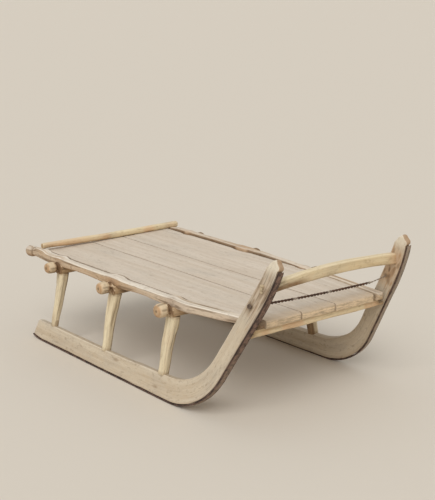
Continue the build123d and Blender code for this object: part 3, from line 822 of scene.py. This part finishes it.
def make_post(side, beam, seed):
    """Post: soft eight-sided sections that widen from the runner to the crossbeam."""
    top_edge = RUNNER_TOP + max(0.0, beam.x - RAMP_START) * math.tan(RAMP_SLOPE)
    foot = plank(side, np.array([beam.x, top_edge]))
    head = plank(side, np.array([beam.x - side.shift, BEAM_BOTTOM / math.cos(SIDE_LEAN)]))
    axis = unit(head - foot)
    height = np.linalg.norm(head - foot)
    distance = np.linspace(-SINK, height + SINK, 80)
    share = np.clip(distance / height, 0, 1)
    half = (beam.foot + (beam.head - beam.foot) * share ** POST_FLARE) / 2 + POST_SPARE
    section = oblong(half, half * POST_FLATNESS, half * POST_ROUNDNESS, flat_u=7, flat_v=7, arc=6)
    grain = grain_of(distance, section, seed)
    lean_out = side.sign * outward(side)
    forth = np.cross(lean_out, axis)
    sway = np.sin(math.pi * share) * waver(distance + seed, 9.0) * POST_SWAY
    path = foot + distance[:, None] * axis + sway[:, None] * forth
    rings = tooled(carry(path, forth, lean_out, section), section, grain, POST_MARKS, chips=0.004)

    ends = per_ring(share, 0.06, 0.0) + per_ring(share, 0.96, 1.0)
    facets = ridges(grain, 0.20, 0.008)
    pink = patches(grain, 0.06, 0.03, 0.50, 0.75) * 0.7
    # Painted light and shade: outward faces painted paler, inward faces painted darker.
    outer_lit = smooth(side.sign * section.sin, -0.8, 0.2)
    foot_patch = per_ring(share, 0.30, 0.08) * smooth(pink, 0.2, 0.6)
    streaks = smooth(facets, -0.25, -0.65) * 0.40
    # Painted shade on the inward faces, strongest on the left posts.
    inside = smooth(-side.sign * section.sin, -0.5, 0.3) * (0.4 if side is LEFT_SIDE else 0.1)
    wear_and_highlight = (0.65 + smooth(facets, -0.2, 0.5) * 0.4) * outer_lit
    grime_and_shade = most(ends * 0.4 + streaks, foot_patch * 0.5) + (1 - outer_lit) * 0.5 + inside
    tube = Tube(rings, grain, wear_and_highlight, grime_and_shade, 0.0, pink * 0.7, 0.3)
    add_piece(f"hewn_post_{beam.name}_{side.name}", [tube], POLE_WOOD,
              [f"post_{beam.name}_{side.name}"])


def make_crossbeam(beam, seed):
    """Crossbeam: hewn body, narrow round neck and round knob, read from the middle out, both ways."""
    neck_end = KNOB_REACH - KNOB_LENGTH
    turn = np.linspace(0, math.pi / 2, 6)
    body = np.linspace(0, BEAM_HALF_LENGTH - 0.003, 70)
    neck = np.array([BEAM_HALF_LENGTH] * 2 + [neck_end] * 3) + [0.0, 0.003, -0.003, 0.0, 0.004]
    knob = np.linspace(neck_end + 0.006, KNOB_REACH - KNOB_ROUND - 0.003, 8)
    knob_end = KNOB_REACH - KNOB_ROUND * (1 - np.sin(turn))
    reach = np.concatenate([body, neck, knob, knob_end, np.full(4, KNOB_REACH)])
    neck_turn = NECK_RADIUS + np.array([0.003, 0.0, 0.0, 0.002, 0.005])
    knob_turn = KNOB_RADIUS - KNOB_ROUND * (1 - np.cos(turn))
    flat_turn = knob_turn[-1] * np.array([0.75, 0.5, 0.25, 0.08])
    turned = np.concatenate([neck_turn, np.full(len(knob), KNOB_RADIUS), knob_turn, flat_turn])
    # Half width, half height, corner and middle: a value for the body, then those of the turned end
    profile = (
        (BEAM_WIDTH / 2, turned),
        (BEAM_HEIGHT / 2, turned),
        (BEAM_EDGE, turned),
        (-BEAM_HEIGHT / 2, np.full(len(turned), -KNOB_DROP)),
    )
    rows = (np.concatenate([np.full(len(body), level), end_part]) for level, end_part in profile)
    half_x, half_z, corner, middle_z = (np.concatenate([row[:0:-1], row]) for row in rows)
    across = np.concatenate([-reach[:0:-1], reach])
    full = np.where(across < -neck_end - 0.005, beam.right, 1.0)
    full = np.where(across > neck_end + 0.005, beam.left, full)
    half_x = half_x * full
    middle_z = middle_z + KNOB_LIFT * (beam.left - 1) * smooth(across, BEAM_HALF_LENGTH, neck_end)
    path = np.stack([np.full(len(across), REAR_X + beam.x), across, BEAM_TOP + middle_z], axis=-1)
    section = oblong(half_z * full, half_x, corner * full, flat_u=7, flat_v=9, arc=6)
    grain = grain_of(across, section, seed)
    out = np.abs(across)
    end = per_ring(out, KNOB_REACH - 0.005, KNOB_REACH - 0.001)
    rings = tooled(carry(path, UP, FORWARD, section), section, grain, BEAM_MARKS, share=1 - end)

    pith = end * per_ring(half_x, 0.007, 0.003)
    # Painted shade in the neck under the rail, with pale patches in it.
    shaded_recess = per_ring(out, BEAM_HALF_LENGTH - 0.010, BEAM_HALF_LENGTH)
    shaded_recess = shaded_recess * per_ring(out, neck_end + 0.016, neck_end + 0.004)
    knob_wear = per_ring(out, neck_end + 0.006, neck_end + 0.018) * (1 - end)
    rim = per_ring(out, KNOB_REACH - 0.014, KNOB_REACH - 0.004) * per_ring(half_x, 0.010, 0.018)
    dark_left = per_ring(across, BEAM_HALF_LENGTH - 0.02, BEAM_HALF_LENGTH)
    # The left knobs and necks are darker on top.
    dark_left_top = dark_left * smooth(section.cos, -0.2, 0.5) * 0.8
    patchy = value_noise(grain / np.array([0.05, 0.007, 0.007]))
    streaks = smooth(patchy, 0.52, 0.75) * (1 - end)
    shade = most(pith * 0.7, shaded_recess * most(smooth(patchy, 0.25, 0.50), dark_left))
    wear_and_highlight = knob_wear * 0.8 + shaded_recess * smooth(patchy, 0.45, 0.25) * (1 - dark_left)
    grime_and_shade = most(shade, streaks * 0.7, dark_left_top)
    warm = 0.15 + shaded_recess * 0.5 + rim * 0.9
    radius = np.hypot(section.u, section.v) * end
    tube = Tube(rings, grain, wear_and_highlight * (1 - dark_left_top), grime_and_shade, end * 0.5, warm, 0.0, radius)
    add_piece(f"hewn_crossbeam_{beam.name}", [tube], HEWN_WOOD, [f"crossbeam_{beam.name}"])


# Rails: place along X, middle across, width, height, underside, share of the racking at that place
RAIL_REAR = BEAM_HALF_LENGTH - RAIL_REAR_INSET
RAIL_FRONT = BEAM_HALF_LENGTH - RAIL_FRONT_INSET
HORN_INNER = SOLE_HALF_GAUGE - (BEAM_TOP + RAIL_END_HEIGHT) * math.tan(SIDE_LEAN) - HALF_WALL
RAIL_END = HORN_INNER - RAIL_HORN_GAP - RAIL_WIDTH / 2
DECK_FRONT = FRONT_BEAM_AT[0] + FRONT_BEAM_DEPTH / 2 + DECK_OVERHANG
RAIL_TIP = DECK_FRONT + RAIL_LEAD
RAIL_UNDER = BEAM_TOP - RAIL_DROP
TAIL_UNDER = BEAM_TOP - TAIL_DROP
CAP_UNDER = TAIL_UNDER + (TAIL_HEIGHT - CAP_SIZE) / 2
THICK_END = BEAMS[2].x + BEAMS[2].boss
THIN_START = FRONT_BEAM_AT[0] - FRONT_BEAM_DEPTH
THIN_SHARE = (THIN_START - THICK_END) / (RAIL_TIP - THICK_END)
THIN_ACROSS = RAIL_FRONT + THIN_SHARE * (RAIL_END - RAIL_FRONT)
TAIL_ACROSS = RAIL_REAR + TAIL_SPREAD
Station = namedtuple("Station", "x across width height under shift")
RAIL_STATIONS = (
    Station(-TAIL_REACH, TAIL_ACROSS, CAP_SIZE, CAP_SIZE, CAP_UNDER, 0.0),
    Station(TAIL_CAP - TAIL_REACH, TAIL_ACROSS, TAIL_WIDTH, TAIL_HEIGHT, TAIL_UNDER, 0.0),
    Station(-BEAMS[0].boss, RAIL_REAR, RAIL_WIDTH, RAIL_HEIGHT, RAIL_UNDER, 0.0),
    Station(THICK_END, RAIL_FRONT, RAIL_WIDTH, RAIL_HEIGHT, RAIL_UNDER, 0.0),
    Station(THIN_START, THIN_ACROSS, RAIL_WIDTH, RAIL_END_HEIGHT, BEAM_TOP, THIN_SHARE),
    Station(RAIL_TIP, RAIL_END, RAIL_WIDTH, RAIL_END_HEIGHT, BEAM_TOP, 1.0),
)


def rail_value(side, x, column):
    """Column of the rail's stations read along X, the front end moved by the racking."""
    places = [station.x + station.shift * side.shift for station in RAIL_STATIONS]
    return np.interp(x, places, [getattr(station, column) for station in RAIL_STATIONS])


def boss_share(x):
    """1 over a crossbeam, falling to 0 at the ends of the rail's swelling."""
    return sum(smooth(beam.boss / 2 - np.abs(x - beam.x), -0.006, BOSS_TAPER) for beam in BEAMS)


def make_rail(side, seed, bleached, lift, front_lift, front_darkening, short, swollen):
    """Rail: shaved section along its stations, swollen over crossbeams and hollowed under bays."""
    length = TAIL_REACH + RAIL_TIP + side.shift - short
    place, inset = rounded_ends(length, RAIL_END_ROUND, 0.005)
    x = place - TAIL_REACH + short
    boss = boss_share(x)
    bay = np.interp(x, [beam.x for beam in BEAMS], [0, 1, 2])
    hollow = np.sin(math.pi * bay) ** 2 * RAIL_HOLLOW
    bulb = smooth(place, 0.048, 0.028) * TAIL_BULB * swollen
    seat = smooth(np.abs(x - POLE_X), 0.055, 0.020) * POLE_SEAT * swollen
    half_width = (rail_value(side, x, "width") + BOSS_SIDE * boss) / 2 + bulb
    half_height = (rail_value(side, x, "height") + BOSS_RISE * boss - hollow + seat) / 2 + bulb
    across = side.sign * (rail_value(side, x, "across") - BOSS_SIDE * boss / 2)
    ahead = smooth(x, 0.45, 0.80)
    level = lift + (front_lift - lift) * ahead
    level = level + (TAIL_LIFT * swollen - level) * smooth(x, -0.07, -0.18)
    middle_z = rail_value(side, x, "under") + hollow + half_height - bulb + level
    path = np.stack([REAR_X + x, across, middle_z], axis=-1)
    corner = RAIL_ROUND + RAIL_TAIL_ROUND * smooth(x, -0.12, -0.22) + bulb
    corner = corner - RAIL_FRONT_SQUARE * smooth(x, THIN_START, RAIL_TIP)
    section = oblong(half_width - inset, half_height - inset, corner, flat_u=9, flat_v=9, arc=6)
    grain = grain_of(place, section, seed)
    rings = tooled(carry(path, LEFT, UP, section), section, grain, RAIL_MARKS, chips=0.003)

    outer = side.sign * section.cos
    # Paler top: partly weathered bleaching, partly painted highlight, broken into patches.
    worn = smooth(ridges(grain, 0.30, 0.02), -0.7, 0.1)
    shoulder = 0.30 * smooth(outer, 0.0, 0.5) * bleached
    top = smooth(section.sin, 0.60 - shoulder, 0.97 - shoulder) * worn
    # Painted shade on the lower side and on the inner face, the inner one fading towards the front and
    # over the swellings.
    low = smooth(0.3 * outer - section.sin, 0.15, 1.0) * (1 - 0.5 * ahead)[:, None]
    shaded = (1 - 0.75 * smooth(x, 0.70, 0.86)) * (1 - 0.85 * smooth(boss, 0.4, 0.9))
    inner = smooth(-outer, 0.35, 0.90) * shaded[:, None]
    # Painted shade in a ring near the tail end, where the bulb swells out.
    ring = np.exp(-((place - 0.045) / 0.006) ** 2)[:, None] * 0.9
    arris = np.exp(-((section.sin - 0.24) / 0.15) ** 2) * smooth(outer, 0.3, 0.7) * 0.60
    streaks = smooth(ridges(grain, 0.16, 0.006), 0.05, 0.50) * 0.8
    flank = smooth(outer, 0.3, 0.8) * ahead[:, None] * bleached * 0.4
    # The right rail darkens towards its front end.
    dark_front = per_ring(x, RAIL_TIP - 0.12, RAIL_TIP - 0.04) * front_darkening
    ends = per_ring(inset, 0.002, 0.005) * (1 - dark_front)
    wear_and_highlight = (top * bleached + section.edge * 0.15 + flank) * (1 - dark_front)
    grime_and_shade = most(low * 0.32, inner * 0.85, streaks * (1 - 0.75 * top), arris, ring, dark_front * 0.9)
    warm = low * 0.8 + inner * 0.2 + (1 - bleached) * 0.3 + boss[:, None] * (inner * 0.4 + 0.25)
    warm = warm + smooth(outer, 0.5, 0.9) * (1 - top) * 0.15
    tube = Tube(rings, grain, wear_and_highlight, grime_and_shade * (1 - ends), ends * 0.6, warm)
    add_piece(f"shaved_rail_{side.name}", [tube], RAIL_WOOD, [f"side_rail_{side.name}"])


FRONT_SPAN = 2 * (SOLE_HALF_GAUGE - FRONT_BEAM_ALONG * math.sin(SIDE_LEAN))
RACK_SLOPE = 2 * RACK_SHIFT / FRONT_SPAN


def rail_edge(side):
    """Edge of the deck along a rail and round its swellings, as a function of the place along X."""
    def edge(x):
        inner = rail_value(side, x, "across") - rail_value(side, x, "width") / 2
        return side.sign * (inner - BOSS_SIDE * boss_share(x) - RAIL_GAP)
    return edge


def seam_edge(y):
    """Straight edge of a board, slightly wavering."""
    def edge(x):
        line = np.stack([x, np.full_like(x, 10 * y), np.zeros_like(x)], axis=-1)
        return y + SEAM_WAVER * waviness(line / SEAM_WAVE)
    return edge


def make_board(name, low_edge, high_edge, short, askew, seed):
    """Board: flat section between two edges, its front end skewed with the frame, its rear askew."""
    place, inset = rounded_ends(DECK_REAR + DECK_FRONT - short, BOARD_END_ROUND, 0.0055)
    x = place - DECK_REAR
    low = low_edge(x)
    high = high_edge(x)
    half_width = (high - low) / 2
    lip_start = DECK_FRONT - DECK_OVERHANG
    lip = smooth(x, lip_start, lip_start + 0.001) * BOARD_LIP / 2
    middle_z = (BEAM_TOP + DECK_TOP) / 2 - lip - 0.6 * inset
    path = np.stack([REAR_X + x, (low + high) / 2, middle_z], axis=-1)
    half_height = (DECK_TOP - BEAM_TOP) / 2 - inset + lip
    section = oblong(half_width - 0.3 * inset, half_height, BOARD_EDGE, flat_u=34, flat_v=5, arc=4)
    grain = grain_of(place, section, seed)
    rings, normals = carry(path, LEFT, UP, section)
    rings[..., 0] += RACK_SLOPE * rings[..., 1] * per_ring(x, 0.80, DECK_FRONT)
    rings[..., 0] -= askew * (half_width[:, None] - section.u) * per_ring(x, 0.15, -DECK_REAR)
    rings = tooled((rings, normals), section, grain, BOARD_MARKS, chips=0.002)

    ends = per_ring(inset, 0.001, 0.006)
    # Painted shade on the boards' side faces in the seams and on their undersides, none on the end
    # grain.
    shaded_walls = np.abs(section.cos) * 0.5 + smooth(-section.sin, 0.2, 0.8) * 0.4
    near_end = per_ring(x, DECK_FRONT - 0.07, DECK_FRONT - 0.01) * 0.7
    tube = Tube(rings, grain, section.edge * 0.35, shaded_walls * (1 - ends), ends * 0.9, near_end)
    add_piece(f"worn_board_{name}", [tube], DECK_WOOD, [f"deck_board_{name}"])


def between_horns(spot):
    """Line across both horns at a spot of the plank: middle, direction, forward axis and length."""
    right = plank(RIGHT_SIDE, spot)
    left = plank(LEFT_SIDE, spot)
    ahead = unit(left - right)
    return (right + left) / 2, ahead, np.cross(ahead, UP), np.linalg.norm(left - right)


def make_front_beam(seed):
    """Front beam: oblong section whose top is cut down beside each horn."""
    middle, ahead, forward, span = between_horns(FRONT_BEAM_AT)
    inside = span / 2 - HALF_WALL
    shoulder = inside - FRONT_NOTCH_WIDTH
    body = np.linspace(0, shoulder - 0.002, 60)
    cut = np.linspace(shoulder - 0.0015, shoulder + 0.0015, 5)
    cheek = np.linspace(shoulder + 0.003, inside + SINK, 8)
    half = np.concatenate([body, cut, cheek])
    across = np.concatenate([-half[:0:-1], half])
    notch = smooth(np.abs(across), shoulder - 0.0012, shoulder + 0.0012) * FRONT_NOTCH_HEIGHT
    path = middle + across[:, None] * ahead - notch[:, None] / 2 * UP
    section = oblong((FRONT_BEAM_HEIGHT - notch) / 2, FRONT_BEAM_DEPTH / 2, FRONT_BEAM_EDGE,
                     flat_u=9, flat_v=14, arc=4)
    grain = grain_of(across, section, seed)
    rings = tooled(carry(path, UP, forward, section), section, grain, FRONT_BEAM_MARKS)

    ends = per_ring(np.abs(across), inside - 0.045, inside - 0.015) * 0.6
    streaks = smooth(ridges(grain, 0.16, 0.006), 0.15, 0.7) * 0.5
    pink = patches(grain, 0.05, 0.025, 0.45, 0.75)
    tube = Tube(rings, grain, section.edge * 0.3, most(ends, streaks), 0.0, 0.2 + 0.7 * pink)
    add_piece("hewn_front_beam", [tube], POLE_WOOD, ["front_beam"])


def make_bow(seed):
    """Bow: soft-edged bar whose top and underside rise as a parabola, and its two tenon ends."""
    middle, ahead, forward, span = between_horns(BOW_AT)
    inside = span / 2 - HALF_WALL
    across = np.linspace(-inside - SINK, inside + SINK, 120)
    arch = 1 - (2 * across / span) ** 2
    deeper = smooth(across, 0.02, inside) * BOW_LEFT_HEIGHT
    half_height = (BOW_END_HEIGHT + (BOW_RISE_TOP - BOW_RISE_BOTTOM) * arch + deeper) / 2
    lift = (BOW_RISE_TOP + BOW_RISE_BOTTOM) / 2 * arch + BOW_TILT * 2 * across / span
    path = middle + across[:, None] * ahead + lift[:, None] * UP
    section = oblong(half_height, BOW_DEPTH / 2, BOW_EDGE, flat_u=9, flat_v=7, arc=5)
    grain = grain_of(across, section, seed)
    rings = tooled(carry(path, UP, forward, section), section, grain, BOW_MARKS)

    ends = per_ring(np.abs(across), inside - 0.02, inside) * 0.3
    near = per_ring(-across, inside - 0.07, inside - 0.01)
    far = per_ring(across, inside - 0.06, inside) * 0.8
    streaks = smooth(ridges(grain, 0.18, 0.006), 0.2, 0.8) * 0.35
    # Painted shade on the underside of the bow's right end.
    under = smooth(-section.u, -0.008, 0.006) * per_ring(-across, inside - 0.19, inside - 0.12)
    lit = smooth(section.cos, -0.2, 0.8) * (1 - near) * 0.7
    tubes = [Tube(rings, grain, lit, most(ends + near * 0.3, streaks, under), 0.0, far, near)]
    for side in SIDES:
        place, inset = rounded_ends(2 * HALF_WALL + BOW_TENON_PROUD, 0.0015, 0.004)
        out = (inside + place)[::side.sign] * side.sign
        inset = inset[::side.sign]
        section = oblong(BOW_TENON_HEIGHT / 2 - inset, BOW_TENON_DEPTH / 2 - inset, 0.002)
        tenon = carry(middle + out[:, None] * ahead, UP, forward, section)[0]
        end = per_ring(np.abs(out), inside + HALF_WALL, inside + 2 * HALF_WALL)
        tubes.append(Tube(tenon, grain_of(out, section, seed + 3), 0.15, 0.1, end * 0.15, 0.0, 0.8))
    add_piece("arched_bow", tubes, POLE_WOOD, ["bow"])


def wire_rings(path, radius, columns=8):
    """Circle carried along a free path, its axes square to the path's own direction."""
    ahead = unit(np.gradient(path, axis=0))
    first = unit(np.cross(ahead, np.array([0.31, 0.22, 0.93])))
    turn = np.linspace(0, 2 * math.pi, columns, endpoint=False)
    size = np.broadcast_to(radius, len(path))[:, None]
    section = Section(size * np.cos(turn), size * np.sin(turn), np.cos(turn), np.sin(turn), 0.0)
    return carry(path, first, np.cross(ahead, first), section)[0], section


def make_tie(seed):
    """Tie: two strands round a line that sags as a parabola where wound thick, and two end coils."""
    middle, ahead, forward, span = between_horns(TIE_AT)
    reach = span / 2 + HALF_WALL
    across = np.linspace(-reach - 0.002, reach + 0.002, 480)
    share = across / reach
    wound_drop = TIE_SAG * (1 + share) * (1 - 0.5 * share)
    end_drop = TIE_SAG * (1 + TIE_WOUND) * (1 - 0.5 * TIE_WOUND) * (1 - share) / (1 - TIE_WOUND)
    drop = np.minimum(wound_drop, end_drop)
    line = middle + across[:, None] * ahead - drop[:, None] * UP
    thin = smooth(share, TIE_WOUND - 0.04, TIE_WOUND + 0.02)
    strand_radius = TIE_STRAND * (1 - 0.5 * thin)
    bits = np.exp(-((share[:, None] - TIE_BRIGHT_BITS) / TIE_BIT_WIDTH) ** 2).sum(axis=1)
    bright = (bits + thin * 0.6)[:, None]
    tubes = []
    for strand in range(2):
        turn = 2 * math.pi * across / TIE_PITCH + math.pi * strand
        wound = strand_radius[:, None] * (np.cos(turn)[:, None] * UP + np.sin(turn)[:, None] * forward)
        rings, section = wire_rings(line + wound, strand_radius)
        tubes.append(Tube(rings, grain_of(across, section, seed + strand), bright))
    for side, end in zip(SIDES, (line[0], line[-1])):
        out = outward(side)
        beside = np.cross(out, FORWARD)
        share = np.linspace(0, 1, 90)
        turn = 2 * math.pi * COIL_TURNS * share
        radius = COIL_START + COIL_SPREAD * smooth(share, 0.0, 0.35)
        coil = radius[:, None] * (np.cos(turn)[:, None] * FORWARD + np.sin(turn)[:, None] * beside)
        path = end + (COIL_START + COIL_RISE * share)[:, None] * out + coil
        rings, section = wire_rings(path, TIE_STRAND)
        tubes.append(Tube(rings, grain_of(0.1 * share, section, seed + 5), 0.25, 0.2))
    add_piece("twisted_tie", tubes, TIE_IRON, ["tie_wire"])


def make_rear_pole(seed):
    """Rear pole: round section that thins towards its right end, with slow hollows."""
    low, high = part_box("rear_pole")
    place, inset = rounded_ends(high.y - low.y, POLE_END_ROUND, 0.005)
    lies = smooth(place, 0.0, 0.46)
    full = (high.z - low.z) / 2
    taper = POLE_TAPER * smooth(place, 0.13, 0.0)
    radius = full + POLE_FULL - POLE_THIN * smooth(place, 0.35, 0.05) - taper
    middle_x = (low.x + high.x) / 2 + POLE_LEAD * (1 - lies)
    middle_z = low.z + radius + 2 * taper - POLE_BED * (1 - lies) - POLE_SINK * lies
    path = np.stack([middle_x, low.y + place, middle_z], axis=-1)
    section = oblong(radius - inset, radius - inset, full, flat_u=1, flat_v=1, arc=7)
    grain = grain_of(place, section, seed)
    rings = tooled(carry(path, UP, FORWARD, section), section, grain, POLE_MARKS)

    ends = per_ring(inset, 0.001, 0.003)
    patchy = per_ring(value_noise(np.outer(place, [17.0, 0.0, 0.0]) + 0.5), 0.40, 0.65)
    under = smooth(-section.cos, 0.1, 0.8) * patchy * 0.5
    top = smooth(section.cos, 0.2, 0.9) * 0.4
    tube = Tube(rings, grain, top, under, ends * 0.8, patchy * 0.9)
    add_piece("round_rear_pole", [tube], POLE_WOOD, ["rear_pole"])


for number, side in enumerate(SIDES):
    make_runner(side, 3 + number)
    make_shoe(side, 7 + number, SCOURED * number)
    for place, beam in enumerate(BEAMS):
        make_post(side, beam, 15 + 3 * number + place)
for place, beam in enumerate(BEAMS):
    make_crossbeam(beam, 23 + place)
make_rail(RIGHT_SIDE, 11, bleached=0.88, lift=-0.0045, front_lift=-0.002,
          front_darkening=1.0, short=0.015, swollen=1.0)
make_rail(LEFT_SIDE, 12, bleached=0.55, lift=0.005, front_lift=-0.004,
          front_darkening=0.0, short=0.0, swollen=0.0)
HALF_GAP = BOARD_GAP / 2
make_board("right", rail_edge(RIGHT_SIDE), seam_edge(SEAM_RIGHT - HALF_GAP),
           short=0.0, askew=0.075, seed=27)
make_board("middle", seam_edge(SEAM_RIGHT + HALF_GAP), seam_edge(SEAM_LEFT - HALF_GAP),
           short=0.001, askew=0.0, seed=29)
make_board("left", seam_edge(SEAM_LEFT + HALF_GAP), rail_edge(LEFT_SIDE),
           short=0.0, askew=0.0, seed=31)
make_front_beam(33)
make_bow(35)
make_tie(37)
make_rear_pole(39)

# Stage, light and camera
FLOOR_REACH = 2000.0
FLOOR_DEPTH = 0.0005
KEY_FROM = (0.50, -0.72, 0.85)
KEY_STRENGTH = 1.75
KEY_ANGLE = math.radians(40.0)
SKY = 0.60
CAMERA_AT = (2.8668, -2.4474, 1.4300)
CAMERA_AHEAD = (-0.752, 0.659, 0.0)
CAMERA_PITCH = math.radians(14.52)
CAMERA_ROLL = math.radians(0.54)
CAMERA_LENS = 70.83


def add_floor():
    """Plain pale floor."""
    mesh = bpy.data.meshes.new("floor")
    signs = ((-1, -1), (1, -1), (1, 1), (-1, 1))
    corners = [(FLOOR_REACH * x, FLOOR_REACH * y, -FLOOR_DEPTH) for x, y in signs]
    mesh.from_pydata(corners, [], [(0, 1, 2, 3)])
    material, shader = new_material("pale_floor", 0.2)
    shader.inputs["Roughness"].default_value = 0.85
    shader.inputs["Base Color"].default_value = (*srgb(214, 205, 191), 1.0)
    mesh.materials.append(material)
    floor = bpy.data.objects.new("floor", mesh)
    bpy.context.scene.collection.objects.link(floor)


def add_light():
    """Soft key from the near side and above, and an even pale sky with a pale backdrop in it."""
    data = bpy.data.lights.new("key", "SUN")
    data.energy = KEY_STRENGTH
    data.angle = KEY_ANGLE
    key = bpy.data.objects.new("key", data)
    key.rotation_mode = "QUATERNION"
    key.rotation_quaternion = Vector(KEY_FROM).to_track_quat("Z", "Y")
    bpy.context.scene.collection.objects.link(key)
    world = bpy.data.worlds.new("sky")
    world.use_nodes = True
    first = Wire(world.node_tree)
    seen, mirrored, through = (first.add("ShaderNodeLightPath", output=ray)
                               for ray in ("Is Camera Ray", "Is Glossy Ray", "Is Transmission Ray"))
    colour = blend_of(seen + mirrored + through, (SKY, SKY, SKY), srgb(222, 215, 203))
    world.node_tree.links.new(colour.socket, world.node_tree.nodes["Background"].inputs["Color"])
    bpy.context.scene.world = world


def add_camera():
    """Camera at the photograph's place: ahead along the floor, tipped down, slightly rolled."""
    ahead = unit(np.array(CAMERA_AHEAD))
    look = ahead * math.cos(CAMERA_PITCH) - UP * math.sin(CAMERA_PITCH)
    right = unit(np.cross(look, UP))
    top = np.cross(right, look)
    turned = right * math.cos(CAMERA_ROLL) + top * math.sin(CAMERA_ROLL)
    raised = top * math.cos(CAMERA_ROLL) - right * math.sin(CAMERA_ROLL)
    data = bpy.data.cameras.new("camera")
    data.lens = CAMERA_LENS
    camera = bpy.data.objects.new("camera", data)
    columns = [(*axis, 0.0) for axis in (turned, raised, -look)] + [(*CAMERA_AT, 1.0)]
    camera.matrix_world = Matrix(columns).transposed()
    bpy.context.scene.collection.objects.link(camera)
    bpy.context.scene.camera = camera


add_floor()
add_light()
add_camera()
bpy.context.scene.view_settings.view_transform = "Standard"
